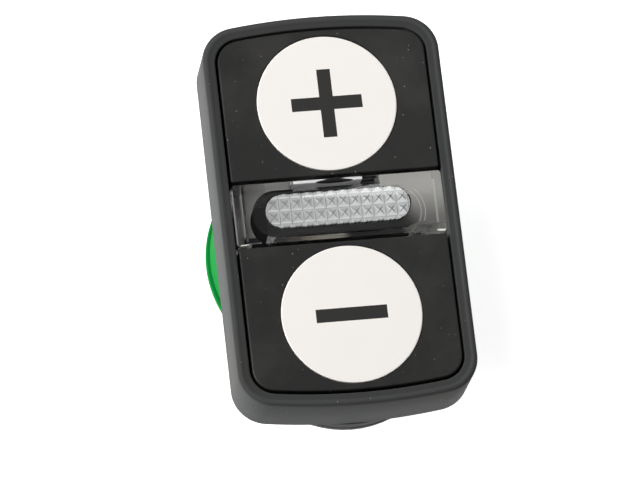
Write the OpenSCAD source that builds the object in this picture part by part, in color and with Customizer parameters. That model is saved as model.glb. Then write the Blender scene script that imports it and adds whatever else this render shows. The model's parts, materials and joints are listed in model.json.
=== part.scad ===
// Double push button head: a plus push and a minus push in one frame, with a pilot-light window between.
// Millimetres. +Z points out of the face, +Y runs from the minus push to the plus push, X is the width.
// The origin is on the barrel's axis, in the plane of the panel that the head clamps onto.

/* [Bezel] */
// Width of the bezel
bezel_w = 30; // [29:0.1:34]
// Length of the bezel at its middle
bezel_l = 50.7; // [48:0.1:57]
// Height of the face above the panel
face_h = 12; // [11.8:0.1:14]
// Radius of the bowed ends
end_r = 82.5; // [60:0.5:140]
// Radius of the bezel's outer corners
corner_r = 4.5; // [3.8:0.1:5.5]
// Width of the rim around the pushes
rim_w = 1.5; // [1.2:0.05:1.8]
// Rounding of the bezel's front edge
edge_r = 0.45; // [0.2:0.05:0.8]
// Width of the low band of the rim beside the opening
band_w = 0.66; // [0.4:0.02:0.8]
// How far that band lies under the rim's top
band_drop = 0.08; // [0.04:0.01:0.2]
// Thickness of the bezel's floor
floor_t = 1.4; // [1:0.1:1.6]
// Width of the bezel's seat on the base plate
seat_w = 1.9; // [1.2:0.1:2.2]

/* [Pushes] */
// Gap between a push and the bezel
push_gap = 0.4; // [0.3:0.05:0.6]
// Radius of the outer corners of a push
push_corner_r = 2.9; // [1.5:0.1:4]
// Travel of a push
push_travel = 3.2; // [2.5:0.1:3.4]
// Room left under a push at the end of its travel
stop_gap = 0.4; // [0.3:0.05:0.8]
// Thickness of the top of a push
cap_t = 2.6; // [2.3:0.1:2.8]
// Thickness of the skirt of a push
skirt_t = 1.2; // [0.8:0.1:1.6]
// Rounding of the front edges of a push
cap_edge_r = 0.2; // [0.1:0.05:0.4]

/* [Legend discs] */
// Least width of a push around its disc
disc_margin = 0.77; // [0.5:0.05:2]
// How far a disc lies nearer the lens than the middle of its push
disc_shift = 0.125; // [0:0.025:0.3]
// Thickness of a disc
disc_t = 1.2; // [1:0.05:1.4]
// Gap around a disc
disc_gap = 0.1; // [0.05:0.01:0.2]
// Length of the strokes of the plus and the minus
mark_l = 8.95; // [6:0.05:12]
// Width of the strokes
mark_w = 1.72; // [1:0.05:2.4]
// Depth of the strokes
mark_t = 0.6; // [0.4:0.05:0.8]

/* [Lens] */
// Height of the lens between the pushes
lens_l = 7.9; // [7.5:0.1:8.2]
// Gap between the lens and a push
lens_gap = 0.35; // [0.25:0.05:0.5]
// Gap between the lens's end and the bezel
lens_end_gap = 0.3; // [0.2:0.05:0.5]
// Thickness of the lens over the window
lens_t = 0.8; // [0.6:0.05:1.2]
// Height of the lens's underside above the panel
lens_base_h = 6; // [5:0.1:7]
// Width of the foot at each end of the lens
foot_w = 2; // [1.4:0.1:2.2]
// Width of the low step at each end of the lens's face
step_w = 1.1; // [0.6:0.1:1.6]
// Depth of that step
step_drop = 0.15; // [0.05:0.05:0.3]
// Length of the recess in each long side of the lens
recess_l = 10.6; // [8:0.1:14]
// Depth of that recess
recess_depth = 0.25; // [0.1:0.05:0.35]
// Thickness of the lens over that recess
recess_cover = 1.2; // [0.8:0.1:2]
// Radius of the lens's corners
lens_corner_r = 0.4; // [0.3:0.05:1]
// Room in the lens's pocket beyond each end of the window
pocket_end = 1.7; // [1.2:0.05:2]
// Room in the lens's pocket beside the window
pocket_side = 0.9; // [0.6:0.05:1]

/* [Light guide] */
// Distance from the lens's end to the window
window_inset = 4.1; // [3.8:0.1:6]
// Width of the window
window_w = 4.25; // [4.2:0.05:4.5]
// How far the window lies nearer the plus push than the middle of the lens
window_shift = 0.4; // [0:0.05:0.45]
// Thickness of the window plate
window_t = 1.2; // [0.8:0.05:1.5]
// Room between the lens and the tips of the prisms
prism_drop = 0.1; // [0.05:0.05:0.6]
// Height of the prisms
prism_h = 0.5; // [0.2:0.05:0.8]
// Pitch of the prisms along the window
prism_x = 1.48; // [1:0.02:2]
// Pitch of the prisms across the window
prism_y = 1.6; // [1:0.05:2]
// Diameter of the light guide's rod
rod_d = 4.2; // [3:0.1:4.2]
// Height of the foot of the fan above the panel
fan_h = 4.6; // [4.4:0.1:6]

/* [Base and barrel] */
// How far the base plate's sides lie inside the bezel's
base_side_inset = 2.1; // [1.6:0.1:2.4]
// How far the base plate's round ends stand out beyond the bezel's
base_end_out = 0.05; // [0:0.05:0.5]
// Thickness of the base plate
plate_t = 2; // [1.8:0.1:2.2]
// Diameter of the barrel
barrel_d = 22; // [21.6:0.1:22.4]
// Length of the barrel behind the panel
barrel_l = 16; // [14:0.5:24]
// Wall of the barrel
barrel_wall = 1.6; // [1.3:0.1:1.7]
// Width of the two bayonet notches in the barrel's end
bayonet_w = 3.2; // [2.4:0.1:4]
// Depth of the bayonet notches
bayonet_depth = 2.2; // [1.5:0.1:2.6]
// Width of the locating key
key_w = 3; // [2:0.1:3.2]
// Height of the locating key over the barrel
key_h = 1.1; // [0.6:0.1:1.3]
// Depth of the locating key behind the panel
key_depth = 0.9; // [0.5:0.1:1.2]

/* [Gasket] */
// Thickness of the panel gasket
gasket_t = 0.8; // [0.6:0.05:1]
// How far the gasket stands out beyond the base plate
gasket_lip = 0.1; // [0.05:0.05:0.6]

/* [Fixing nut] */
// Thickness of the nut from the barrel out to its rear rim
nut_wall = 3.8; // [3.2:0.1:5]
// Height of the nut
nut_h = 6; // [5:0.1:8]
// Room between the panel and the nut
nut_drop = 4.5; // [3:0.1:5.5]
// Height of the nut's rear rim
nut_rim_h = 1.1; // [0.8:0.1:1.6]
// How far the nut's front edge lies inside the rim
nut_front_inset = 1.1; // [0.8:0.1:1.6]
// Depth of the groove beside the rim
nut_groove_depth = 0.8; // [0.5:0.1:1.2]
// Width of that groove
nut_groove_w = 0.5; // [0.3:0.1:0.8]
// Number of spanner notches in the nut's rear face
nut_notches = 6; // [3:1:10]
// Width of a spanner notch
notch_w = 2.4; // [1.8:0.1:3]
// Depth of a spanner notch
notch_depth = 1.6; // [1:0.1:2.2]
// Thickness left between a spanner notch and the rim
notch_wall = 1.2; // [0.8:0.1:1.6]

/* [Pushers, seals and springs] */
// Room between a stem and the barrel's wall
stem_gap = 0.4; // [0.3:0.05:0.5]
// Distance from the lens's side to a stem
stem_inset = 1.05; // [0.95:0.05:1.3]
// How far a stem's end lies inside the barrel's end
stem_recess = 0.6; // [0.3:0.1:1]
// Width of the arm under a push
arm_w = 6; // [5:0.1:7]
// Thickness of the arm
arm_t = 1.6; // [1.2:0.1:1.6]
// Distance from a push's outer end to the middle of its spring
spring_inset = 6.65; // [6:0.05:6.9]
// Mean diameter of a spring
spring_d = 5.4; // [4.8:0.1:5.8]
// Diameter of the spring wire
wire_d = 0.5; // [0.4:0.05:0.55]
// Turns of a spring
spring_turns = 5; // [4:0.5:5.5]
// Depth of the spring's pocket in the base plate
spring_pocket = 1.4; // [1:0.1:1.5]
// Width of a membrane's flange around its stem
seal_flange_w = 1.6; // [1.4:0.05:1.65]
// Thickness of a membrane's flange
seal_t = 0.6; // [0.4:0.05:0.7]
// Height of the fold of a membrane
fold_h = 1.2; // [1:0.1:1.4]
// Height of the collar that grips a stem
collar_h = 1; // [0.8:0.1:1.2]
// Room between a membrane's collar and the arm
collar_drop = 0.7; // [0.5:0.1:0.9]
// Thickness of the plate that clamps the membranes
retainer_t = 0.6; // [0.4:0.05:0.7]
// Thickness of the guide plate in the barrel's end
guide_plate_t = 1.6; // [1.2:0.1:2.4]
// Width of the step in the bore that the guide plate lies on
guide_step = 0.6; // [0.4:0.1:0.8]
// Depth of the guide plate inside the barrel's end
guide_recess = 1.4; // [1:0.1:2.4]

/* [Clearances] */
// Radial clearance of a shaft in its hole
run_gap = 0.06; // [0.04:0.01:0.1]
// Clearance of a piece that is set into another
set_gap = 0.1; // [0.05:0.01:0.15]

/* [Hidden] */

// A tight fit, a free fit and a loose fit, beside set_gap
press_gap = set_gap / 2;
free_gap = 2 * set_gap;
loose_gap = 3 * set_gap;

// Heights over the panel, from the back to the face
plate_top = gasket_t + plate_t;
floor_top = plate_top + floor_t;
seal_top = plate_top + seal_t;
retainer_top = seal_top + retainer_t;
skirt_bottom = floor_top + push_travel + stop_gap;
cap_under = face_h - cap_t;
arm_bottom = cap_under - arm_t;
pocket_top = face_h - lens_t;
prism_base = pocket_top - prism_drop - prism_h;
window_bottom = prism_base - window_t;
spring_floor = plate_top - spring_pocket;

// Half sizes of the opening in the bezel
opening_x = bezel_w / 2 - rim_w;
opening_y = bezel_l / 2 - rim_w;
opening_r = end_r - rim_w;
opening_corner_r = push_corner_r + push_gap;
band_corner_r = opening_corner_r + (corner_r - opening_corner_r) * band_w / rim_w;

// A push runs from push_y to push_end along Y
push_y = lens_l / 2 + lens_gap;
push_end = opening_y - push_gap;
disc_y = (push_y + push_end) / 2 - disc_shift;
disc_d = push_end - push_y - 2 * disc_margin;
spring_y = push_end - spring_inset;

lens_w = 2 * (opening_x - lens_end_gap);
lens_foot_x = lens_w / 2 - foot_w;
window_l = lens_w - 2 * window_inset;
pocket_l = window_l + 2 * pocket_end;
pocket_w = window_w + 2 * pocket_side;

base_w = bezel_w - 2 * base_side_inset;
base_l = bezel_l + 2 * base_end_out;
bore_r = barrel_d / 2 - barrel_wall;

// The stems fill the room between the lens's side and the bore, and the membranes go around them
stem_in = lens_l / 2 + stem_inset;
stem_r = (bore_r - stem_gap - stem_in) / 2;
stem_y = stem_in + stem_r;
seal_flange_r = stem_r + seal_flange_w;
rod_r = rod_d / 2;
rod_flange_r = stem_in - seal_flange_w - free_gap;

guide_seat_r = bore_r + guide_step;
guide_seat_top = -barrel_l + guide_recess + guide_plate_t;
upstand_w = base_w - 2 * seat_w - 2 * set_gap;
upstand_l = base_l - 2 * seat_w - 2 * set_gap;
upstand_t = 1;
stud_r = 1.5;
stud_h = 1;
peg_r = 0.8;
peg_h = 0.8;
peg_inset = 2.8;
peg_x = disc_d / 2 - peg_inset;
post_r = 0.9;
post_x = 5.2;
membrane_top = arm_bottom - collar_drop;
seal_grip = 0.5;
seal_hole_r = seal_flange_r - seal_grip;
retainer_margin = 0.6;
retainer_end = 2.65;
retainer_l = 2 * (stem_y + seal_flange_r + retainer_end);
retainer_w = 2 * (post_x + post_r + retainer_margin);
rib_t = 1;

// How far pieces of one solid run into each other, and how far a cut runs past a face
eps = 0.02;
over = 1;

// Steps of an arc, per quarter turn and along a bowed end
arc_steps = 8;
bow_steps = 12;
wire_sides = 8;
rings_per_turn = 16;

// Pitch of a spring's closed end turns, in wire diameters
coil_pack = 1.06;

bezel_colour = [0.26, 0.27, 0.27];
push_colour = [0.15, 0.15, 0.15];
disc_colour = [0.93, 0.92, 0.89];
mark_colour = [0.12, 0.12, 0.11];
body_colour = [0.18, 0.18, 0.18];
nut_colour = [0.1, 0.68, 0.28];
rubber_colour = [0.1, 0.1, 0.1];
clear_colour = [0.85, 0.88, 0.9, 0.45];
steel_colour = [0.7, 0.7, 0.7];

// Points of an arc about a centre
function arc(centre, r, from, to, steps) = [
    for (i = [0:steps])
        let (angle = from + (to - from) * i / steps)
        centre + r * [cos(angle), sin(angle)]
];

// Middle of the bowed end's arc, and of the corner's arc, for an outline with half sizes x and y
function bow_centre(y, r) = [0, y - r];
function corner_centre(x, y, r, c) = [x - c, y - r + sqrt(pow(r - c, 2) - pow(x - c, 2))];

// One end of the outline from its right side to its left side: corner, bowed end, corner
function end_points(x, y, r, c) =
    let (
        middle = bow_centre(y, r),
        right = corner_centre(x, y, r, c),
        turn = atan2(right[1] - middle[1], right[0])
    )
    concat(
        arc(right, c, 0, turn, arc_steps),
        [for (i = [1:bow_steps - 1]) middle + r * [
            cos(turn + (180 - 2 * turn) * i / bow_steps),
            sin(turn + (180 - 2 * turn) * i / bow_steps)
        ]],
        arc([-right[0], right[1]], c, 180 - turn, 180, arc_steps)
    );

function turned(points) = [for (p = points) -p];

// Whole outline with both bowed ends
function outline_points(x, y, r, c) =
    let (top = end_points(x, y, r, c))
    concat(top, turned(top));

// Outline of one push, drawn smaller by an inset all round
function push_points(inset) =
    let (shrink = push_gap + inset)
    concat(
        [[-opening_x + shrink, push_y + inset], [opening_x - shrink, push_y + inset]],
        end_points(opening_x - shrink, opening_y - shrink, opening_r - shrink, opening_corner_r - shrink)
    );

// Round-ended outline, l long and w wide, along Y
function stadium_points(l, w) =
    let (straight = (l - w) / 2)
    concat(
        arc([0, straight], w / 2, 0, 180, 3 * arc_steps),
        arc([0, -straight], w / 2, 180, 360, 3 * arc_steps)
    );

// The same outline along X
function window_points(l, w) = [for (p = stadium_points(l, w)) [p[1], -p[0]]];

function shifted(points) = [for (p = points) p + [0, window_shift]];

function ring(points, z) = [for (p = points) [p[0], p[1], z]];

module outline(x, y, r, c) {
    polygon(outline_points(x, y, r, c));
}

module push_outline(inset) {
    polygon(push_points(inset));
}

module stadium(l, w) {
    polygon(stadium_points(l, w));
}

module window_outline(l, w) {
    polygon(window_points(l, w));
}

// Closed surface through rings of points, from the lowest to the highest
module loft(rings) {
    n = len(rings[0]);
    sides = [
        for (i = [0:len(rings) - 2])
            for (k = [0:n - 1])
                let (a = i * n + k, b = i * n + (k + 1) % n)
                [a, a + n, b + n, b]
    ];
    bottom = [for (k = [0:n - 1]) k];
    top = [for (k = [n - 1:-1:0]) (len(rings) - 1) * n + k];
    polyhedron([for (r = rings) each r], concat(sides, [bottom], [top]), convexity = 6);
}

// Block with rounded front edges
module bezel_block() {
    steps = 5;
    loft(concat(
        [ring(outline_points(bezel_w / 2, bezel_l / 2, end_r, corner_r), plate_top)],
        [for (i = [0:steps])
            let (angle = 90 * i / steps, inset = edge_r * (1 - cos(angle)))
            ring(
                outline_points(bezel_w / 2 - inset, bezel_l / 2 - inset, end_r - inset, corner_r - inset),
                face_h - edge_r * (1 - sin(angle))
            )]
    ));
}

module bezel() {
    color(bezel_colour) difference() {
        bezel_block();
        // Opening for the pushes and the lens
        translate([0, 0, floor_top]) linear_extrude(face_h - floor_top + over)
            outline(opening_x, opening_y, opening_r, opening_corner_r);
        // Low band of the rim
        translate([0, 0, face_h - band_drop]) linear_extrude(over)
            outline(opening_x + band_w, opening_y + band_w, opening_r + band_w, band_corner_r);
        // Hole in the floor around the body's rib
        translate([0, 0, plate_top - over])
            linear_extrude(floor_t + 2 * over) stadium(base_l - 2 * seat_w, base_w - 2 * seat_w);
    }
}

module body() {
    color(body_colour) difference() {
        union() {
            translate([0, 0, gasket_t]) linear_extrude(plate_t) stadium(base_l, base_w);
            // Rib that locates the bezel
            translate([0, 0, plate_top - eps]) linear_extrude(floor_t + eps) difference() {
                stadium(upstand_l, upstand_w);
                stadium(upstand_l - 2 * upstand_t, upstand_w - 2 * upstand_t);
            }
            translate([0, 0, -barrel_l])
                cylinder(d = barrel_d, h = barrel_l + gasket_t + plate_t / 2, $fn = 96);
            // Locating key
            translate([-key_w / 2, bore_r + barrel_wall / 2, -key_depth])
                cube([key_w, key_h + barrel_wall / 2, key_depth + gasket_t + plate_t / 2]);
            // Posts that locate the retainer
            for (side = [-1, 1])
                translate([side * post_x, 0, plate_top - eps])
                    cylinder(r = post_r, h = retainer_top - plate_top + eps, $fn = 32);
        }
        // Bore of the barrel, and the wider seat of the guide plate
        translate([0, 0, -barrel_l - over]) cylinder(r = bore_r, h = barrel_l + gasket_t + over, $fn = 96);
        translate([0, 0, -barrel_l - over])
            cylinder(r = guide_seat_r, h = guide_seat_top + barrel_l + over, $fn = 96);
        // Bayonet notches on the left and the right of the barrel's end
        translate([-barrel_d, -bayonet_w / 2, -barrel_l - over])
            cube([2 * barrel_d, bayonet_w, bayonet_depth + over]);
        // Hole for the light guide
        cylinder(r = rod_r + set_gap, h = plate_top + over, $fn = 48);
        for (side = [-1, 1]) {
            translate([0, side * stem_y, 0]) cylinder(r = stem_r + run_gap, h = plate_top + over, $fn = 48);
            translate([0, side * spring_y, spring_floor])
                cylinder(d = spring_d + wire_d + 2 * loose_gap, h = spring_pocket + over, $fn = 48);
        }
    }
}

module panel_gasket() {
    color(rubber_colour) linear_extrude(gasket_t) difference() {
        stadium(base_l + 2 * gasket_lip, base_w + 2 * gasket_lip);
        circle(r = barrel_d / 2 + loose_gap, $fn = 96);
        translate([-key_w / 2 - free_gap, bore_r])
            square([key_w + 2 * free_gap, barrel_wall + key_h + free_gap]);
    }
}

// Ring nut below the panel: tapered front, groove, and a rim at the rear
module fixing_nut() {
    hole_r = barrel_d / 2 + run_gap;
    rim_r = barrel_d / 2 + nut_wall;
    front_r = rim_r - nut_front_inset;
    groove_r = rim_r - nut_groove_depth;
    notch_end_r = rim_r - notch_wall;
    front_bevel = 0.5;
    rear_bevel = 0.3;
    rim_bevel = 0.15;
    taper_inset = 0.4;
    rear_z = -nut_drop - nut_h;
    rim_z = rear_z + nut_rim_h;
    groove_z = rim_z + nut_groove_w;
    color(nut_colour) difference() {
        rotate_extrude($fn = 120) polygon([
            [hole_r, -nut_drop], [front_r - front_bevel, -nut_drop], [front_r, -nut_drop - front_bevel],
            [rim_r - taper_inset, groove_z], [groove_r, groove_z], [groove_r, rim_z],
            [rim_r - rim_bevel, rim_z], [rim_r, rim_z - rim_bevel],
            [rim_r, rear_z + rear_bevel], [rim_r - rear_bevel, rear_z],
            [hole_r, rear_z]
        ]);
        for (i = [0:nut_notches - 1])
            rotate(360 * i / nut_notches)
                translate([hole_r - over, -notch_w / 2, rear_z - over])
                    cube([notch_end_r - hole_r + over, notch_w, notch_depth + over]);
    }
}

// Push block with rounded front edges
module push_block() {
    steps = 3;
    loft(concat(
        [ring(push_points(0), skirt_bottom)],
        [for (i = [0:steps])
            let (angle = 90 * i / steps)
            ring(push_points(cap_edge_r * (1 - cos(angle))), face_h - cap_edge_r * (1 - sin(angle)))]
    ));
}

// Push with a pocket for its disc, a skirt, and two ribs beside the arm; drawn for the upper side
module push_cap() {
    rib_x = arm_w / 2 + set_gap;
    difference() {
        union() {
            difference() {
                push_block();
                translate([0, 0, skirt_bottom - over])
                    linear_extrude(cap_under - skirt_bottom + over) push_outline(skirt_t);
            }
            for (x = [-rib_x - rib_t, rib_x])
                translate([x, push_y + skirt_t - eps, skirt_bottom])
                    cube([rib_t, spring_y - push_y - skirt_t, cap_under - skirt_bottom + eps]);
        }
        translate([0, disc_y, face_h - disc_t])
            cylinder(d = disc_d + 2 * disc_gap, h = disc_t + over, $fn = 96);
        // Hole for the pusher's stud, and two for the disc's pegs
        translate([0, disc_y, cap_under - over]) cylinder(r = stud_r + press_gap, h = cap_t, $fn = 32);
        for (side = [-1, 1])
            translate([side * peg_x, disc_y, face_h - disc_t - peg_h - set_gap])
                cylinder(r = peg_r + press_gap, h = peg_h + over, $fn = 24);
        // Notch in the skirt for the arm
        translate([-arm_w / 2 - set_gap, push_y - over, skirt_bottom - over])
            cube([arm_w + 2 * set_gap, skirt_t + over + eps, cap_under - skirt_bottom + over]);
    }
}

module upper_push_cap() {
    color(push_colour) push_cap();
}

module lower_push_cap() {
    color(push_colour) mirror([0, 1, 0]) push_cap();
}

// Strokes of the marks, about a disc's middle
module minus_strokes() {
    square([mark_l, mark_w], center = true);
}

module plus_strokes() {
    square([mark_l, mark_w], center = true);
    square([mark_w, mark_l], center = true);
}

// Disc with two pegs under it; its children are the strokes let into its face
module legend_disc(side) {
    translate([0, side * disc_y, 0]) difference() {
        union() {
            translate([0, 0, face_h - disc_t]) cylinder(d = disc_d, h = disc_t, $fn = 96);
            for (x = [-peg_x, peg_x])
                translate([x, 0, face_h - disc_t - peg_h])
                    cylinder(r = peg_r, h = peg_h + disc_t / 2, $fn = 24);
        }
        translate([0, 0, face_h - mark_t]) linear_extrude(mark_t + over) children();
    }
}

module mark(side) {
    translate([0, side * disc_y, face_h - mark_t]) linear_extrude(mark_t) children();
}

module upper_legend_disc() {
    color(disc_colour) legend_disc(1) plus_strokes();
}

module lower_legend_disc() {
    color(disc_colour) legend_disc(-1) minus_strokes();
}

module plus_mark() {
    color(mark_colour) mark(1) plus_strokes();
}

module minus_mark() {
    color(mark_colour) mark(-1) minus_strokes();
}

// Arm under a push, with the stud that snaps into it and the stem that runs down the barrel
module pusher() {
    union() {
        translate([-arm_w / 2, stem_in, arm_bottom])
            cube([arm_w, spring_y + spring_d / 2 + wire_d / 2 - stem_in, arm_t]);
        translate([0, disc_y, cap_under - eps]) cylinder(r = stud_r, h = stud_h + eps, $fn = 32);
        translate([0, stem_y, -barrel_l + stem_recess])
            cylinder(r = stem_r, h = barrel_l - stem_recess + arm_bottom + arm_t / 2, $fn = 48);
        // Boss inside the spring's last turn
        translate([0, spring_y, arm_bottom - arm_t / 2])
            cylinder(d = spring_d - wire_d - 2 * loose_gap, h = arm_t, $fn = 32);
    }
}

module upper_pusher() {
    color(body_colour) pusher();
}

module lower_pusher() {
    color(body_colour) mirror([0, 1, 0]) pusher();
}

// Height of the wire's middle after t turns: a closed turn at each end and open turns between
function coil_height(t, length) =
    let (
        closed_pitch = coil_pack * wire_d,
        open_pitch = (length - 2 * closed_pitch) / (spring_turns - 2)
    )
    t < 1 ? t * closed_pitch
        : t > spring_turns - 1 ? length - (spring_turns - t) * closed_pitch
        : closed_pitch + (t - 1) * open_pitch;

// Coil spring about Z from the height low to the height high
module coil(low, high) {
    length = high - low - wire_d;
    wire_r = wire_d / 2;
    rings = round(spring_turns * rings_per_turn);
    points = [
        for (i = [0:rings])
            let (t = i / rings_per_turn, z = low + wire_r + coil_height(t, length))
            for (k = [0:wire_sides - 1])
                let (r = spring_d / 2 + wire_r * cos(360 * k / wire_sides))
                [r * cos(360 * t), r * sin(360 * t), z + wire_r * sin(360 * k / wire_sides)]
    ];
    sides = [
        for (i = [0:rings - 1])
            for (k = [0:wire_sides - 1])
                let (a = i * wire_sides + k, b = i * wire_sides + (k + 1) % wire_sides)
                [a, a + wire_sides, b + wire_sides, b]
    ];
    first = [for (k = [0:wire_sides - 1]) k];
    last = [for (k = [wire_sides - 1:-1:0]) rings * wire_sides + k];
    polyhedron(points, concat(sides, [first], [last]), convexity = 10);
}

module upper_return_spring() {
    color(steel_colour) translate([0, spring_y, 0]) coil(spring_floor, arm_bottom);
}

module lower_return_spring() {
    color(steel_colour) mirror([0, 1, 0]) translate([0, spring_y, 0]) coil(spring_floor, arm_bottom);
}

// Rubber membrane around a stem: flange, thin fold and a collar that grips the stem
module membrane() {
    grip_r = stem_r + run_gap;
    flange_r = seal_flange_r;
    wall = 0.4;
    collar_r = grip_r + 1.5 * wall;
    fold_r = flange_r - 1.5 * wall;
    fold_top_r = fold_r - wall / 4;
    collar_z = membrane_top - collar_h;
    rotate_extrude($fn = 64) polygon([
        [grip_r, plate_top], [flange_r, plate_top], [flange_r, seal_top],
        [fold_r, seal_top], [fold_top_r, seal_top + fold_h], [grip_r + wall, collar_z - wall / 2],
        [collar_r, collar_z + wall / 2], [collar_r, membrane_top], [grip_r, membrane_top],
        [grip_r, collar_z - wall / 4], [fold_top_r - wall, seal_top + fold_h - wall / 2],
        [fold_r - wall, seal_top - wall / 2], [grip_r, seal_top - wall / 2]
    ]);
}

module upper_membrane() {
    color(rubber_colour) translate([0, stem_y, 0]) membrane();
}

module lower_membrane() {
    color(rubber_colour) mirror([0, 1, 0]) translate([0, stem_y, 0]) membrane();
}

module seal_retainer() {
    color(steel_colour) translate([0, 0, seal_top]) difference() {
        linear_extrude(retainer_t) stadium(retainer_l, retainer_w);
        translate([0, 0, -over]) {
            cylinder(r = rod_r + loose_gap, h = retainer_t + 2 * over, $fn = 48);
            for (side = [-1, 1]) {
                translate([0, side * stem_y, 0])
                    cylinder(r = seal_hole_r, h = retainer_t + 2 * over, $fn = 48);
                translate([side * post_x, 0, 0])
                    cylinder(r = post_r + set_gap, h = retainer_t + 2 * over, $fn = 32);
            }
        }
    }
}

module lens() {
    step_x = lens_w / 2 - step_w;
    color(clear_colour) difference() {
        translate([0, 0, floor_top]) linear_extrude(face_h - floor_top) lens_outline();
        // Space under the lens between its two feet
        translate([-lens_foot_x, -lens_l, floor_top - over])
            cube([2 * lens_foot_x, 2 * lens_l, lens_base_h - floor_top + over]);
        translate([0, 0, floor_top - over])
            linear_extrude(pocket_top - floor_top + over) window_outline(pocket_l, pocket_w);
        for (side = [-1, 1]) {
            // Low step at each end of the face
            translate([side * (step_x + over) - over, -lens_l, face_h - step_drop])
                cube([2 * over, 2 * lens_l, over]);
            // Recess in each long side
            translate([-recess_l / 2, side * (lens_l / 2 - recess_depth + over) - over, floor_top - over])
                cube([recess_l, 2 * over, face_h - recess_cover - floor_top + over]);
        }
    }
}

// Plan of the lens, with small rounded corners
module lens_outline() {
    x = lens_w / 2 - lens_corner_r;
    y = lens_l / 2 - lens_corner_r;
    polygon(concat(
        arc([x, y], lens_corner_r, 0, 90, arc_steps),
        arc([-x, y], lens_corner_r, 90, 180, arc_steps),
        arc([-x, -y], lens_corner_r, 180, 270, arc_steps),
        arc([x, -y], lens_corner_r, 270, 360, arc_steps)
    ));
}

module lens_seal() {
    color(rubber_colour)
        translate([0, 0, floor_top]) linear_extrude(prism_base - floor_top) difference() {
            window_outline(pocket_l - 2 * set_gap, pocket_w - 2 * set_gap);
            translate([0, window_shift]) window_outline(window_l + loose_gap, window_w + loose_gap);
        }
}

// V-groove along Y, with its bottom at z = 0
module prism_groove(pitch, length) {
    tip_flat = 0.08;
    half = (pitch - tip_flat) / 2;
    reach = 1.5;
    rotate([90, 0, 0])
        linear_extrude(length, center = true)
            polygon([[0, 0], [half * reach, prism_h * reach], [-half * reach, prism_h * reach]]);
}

// Rod down the barrel, a fan that widens to the window, and a window plate that crossing grooves cut
// into pyramids
module light_guide() {
    columns = ceil(window_l / prism_x / 2);
    rows = floor(window_w / 2 / prism_y);
    foot_inset = 0.1;
    sink = 0.2;
    rod_bottom = guide_seat_top - guide_plate_t - set_gap;
    color(clear_colour) difference() {
        union() {
            translate([0, 0, rod_bottom]) cylinder(r = rod_r, h = fan_h + sink - rod_bottom, $fn = 48);
            translate([0, 0, plate_top]) cylinder(r = rod_flange_r, h = seal_t, $fn = 48);
            loft([
                ring(window_points(rod_d - 2 * foot_inset, rod_d - 6 * foot_inset), fan_h - sink),
                ring(
                    shifted(window_points(window_l - foot_inset, window_w - foot_inset)),
                    window_bottom + sink
                )
            ]);
            translate([0, window_shift, window_bottom])
                linear_extrude(window_t + prism_h) window_outline(window_l, window_w);
        }
        translate([0, window_shift, prism_base]) {
            for (i = [-columns:columns])
                translate([i * prism_x, 0, 0]) prism_groove(prism_x, 2 * window_w);
            for (j = [-rows:rows])
                translate([0, j * prism_y, 0]) rotate(90) prism_groove(prism_y, 2 * window_l);
        }
    }
}

module guide_plate() {
    bottom = guide_seat_top - guide_plate_t;
    color(body_colour) translate([0, 0, bottom]) difference() {
        cylinder(r = guide_seat_r - run_gap, h = guide_plate_t, $fn = 96);
        translate([0, 0, -over]) {
            cylinder(r = rod_r + set_gap, h = guide_plate_t + 2 * over, $fn = 48);
            for (side = [-1, 1])
                translate([0, side * stem_y, 0])
                    cylinder(r = stem_r + run_gap, h = guide_plate_t + 2 * over, $fn = 48);
        }
    }
}

bezel();
body();
panel_gasket();
fixing_nut();
upper_push_cap();
lower_push_cap();
upper_legend_disc();
lower_legend_disc();
plus_mark();
minus_mark();
upper_pusher();
lower_pusher();
upper_return_spring();
lower_return_spring();
upper_membrane();
lower_membrane();
seal_retainer();
lens();
lens_seal();
light_guide();
guide_plate();
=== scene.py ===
import json
import math

import bmesh
import bpy
from mathutils import Matrix, Vector


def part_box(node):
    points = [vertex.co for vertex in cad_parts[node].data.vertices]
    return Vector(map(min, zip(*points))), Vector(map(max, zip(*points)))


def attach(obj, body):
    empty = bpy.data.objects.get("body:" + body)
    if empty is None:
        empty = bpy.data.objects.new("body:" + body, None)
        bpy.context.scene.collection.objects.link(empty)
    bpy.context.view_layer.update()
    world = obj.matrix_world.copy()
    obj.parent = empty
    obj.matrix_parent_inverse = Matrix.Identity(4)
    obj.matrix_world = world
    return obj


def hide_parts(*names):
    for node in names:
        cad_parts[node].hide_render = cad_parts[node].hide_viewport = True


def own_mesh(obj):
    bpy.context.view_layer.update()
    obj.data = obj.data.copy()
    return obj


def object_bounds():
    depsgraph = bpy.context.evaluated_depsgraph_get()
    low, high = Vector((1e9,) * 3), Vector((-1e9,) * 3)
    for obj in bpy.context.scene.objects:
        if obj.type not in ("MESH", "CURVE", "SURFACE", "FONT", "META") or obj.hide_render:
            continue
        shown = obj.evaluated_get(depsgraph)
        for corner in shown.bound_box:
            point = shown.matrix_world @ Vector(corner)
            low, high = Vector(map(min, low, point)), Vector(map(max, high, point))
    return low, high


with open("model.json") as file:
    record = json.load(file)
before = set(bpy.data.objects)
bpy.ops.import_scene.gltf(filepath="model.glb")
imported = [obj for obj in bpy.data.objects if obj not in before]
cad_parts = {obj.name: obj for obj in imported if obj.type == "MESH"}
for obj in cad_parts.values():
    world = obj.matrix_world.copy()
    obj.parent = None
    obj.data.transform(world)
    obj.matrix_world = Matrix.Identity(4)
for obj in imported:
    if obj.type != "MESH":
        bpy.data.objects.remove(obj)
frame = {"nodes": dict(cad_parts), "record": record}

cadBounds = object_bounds()
mm = 0.001

# Heights and half sizes that the pieces share, from the frame
bezelLow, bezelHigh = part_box("bezel")
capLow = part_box("upper_push_cap")[0]
discLow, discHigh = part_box("upper_legend_disc")
lensLow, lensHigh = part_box("lens")
faceZ = bezelHigh.z
halfWidth = bezelHigh.x
halfLength = bezelHigh.y
discY = (discLow.y + discHigh.y) / 2
discRadius = (discHigh.x - discLow.x) / 2

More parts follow.
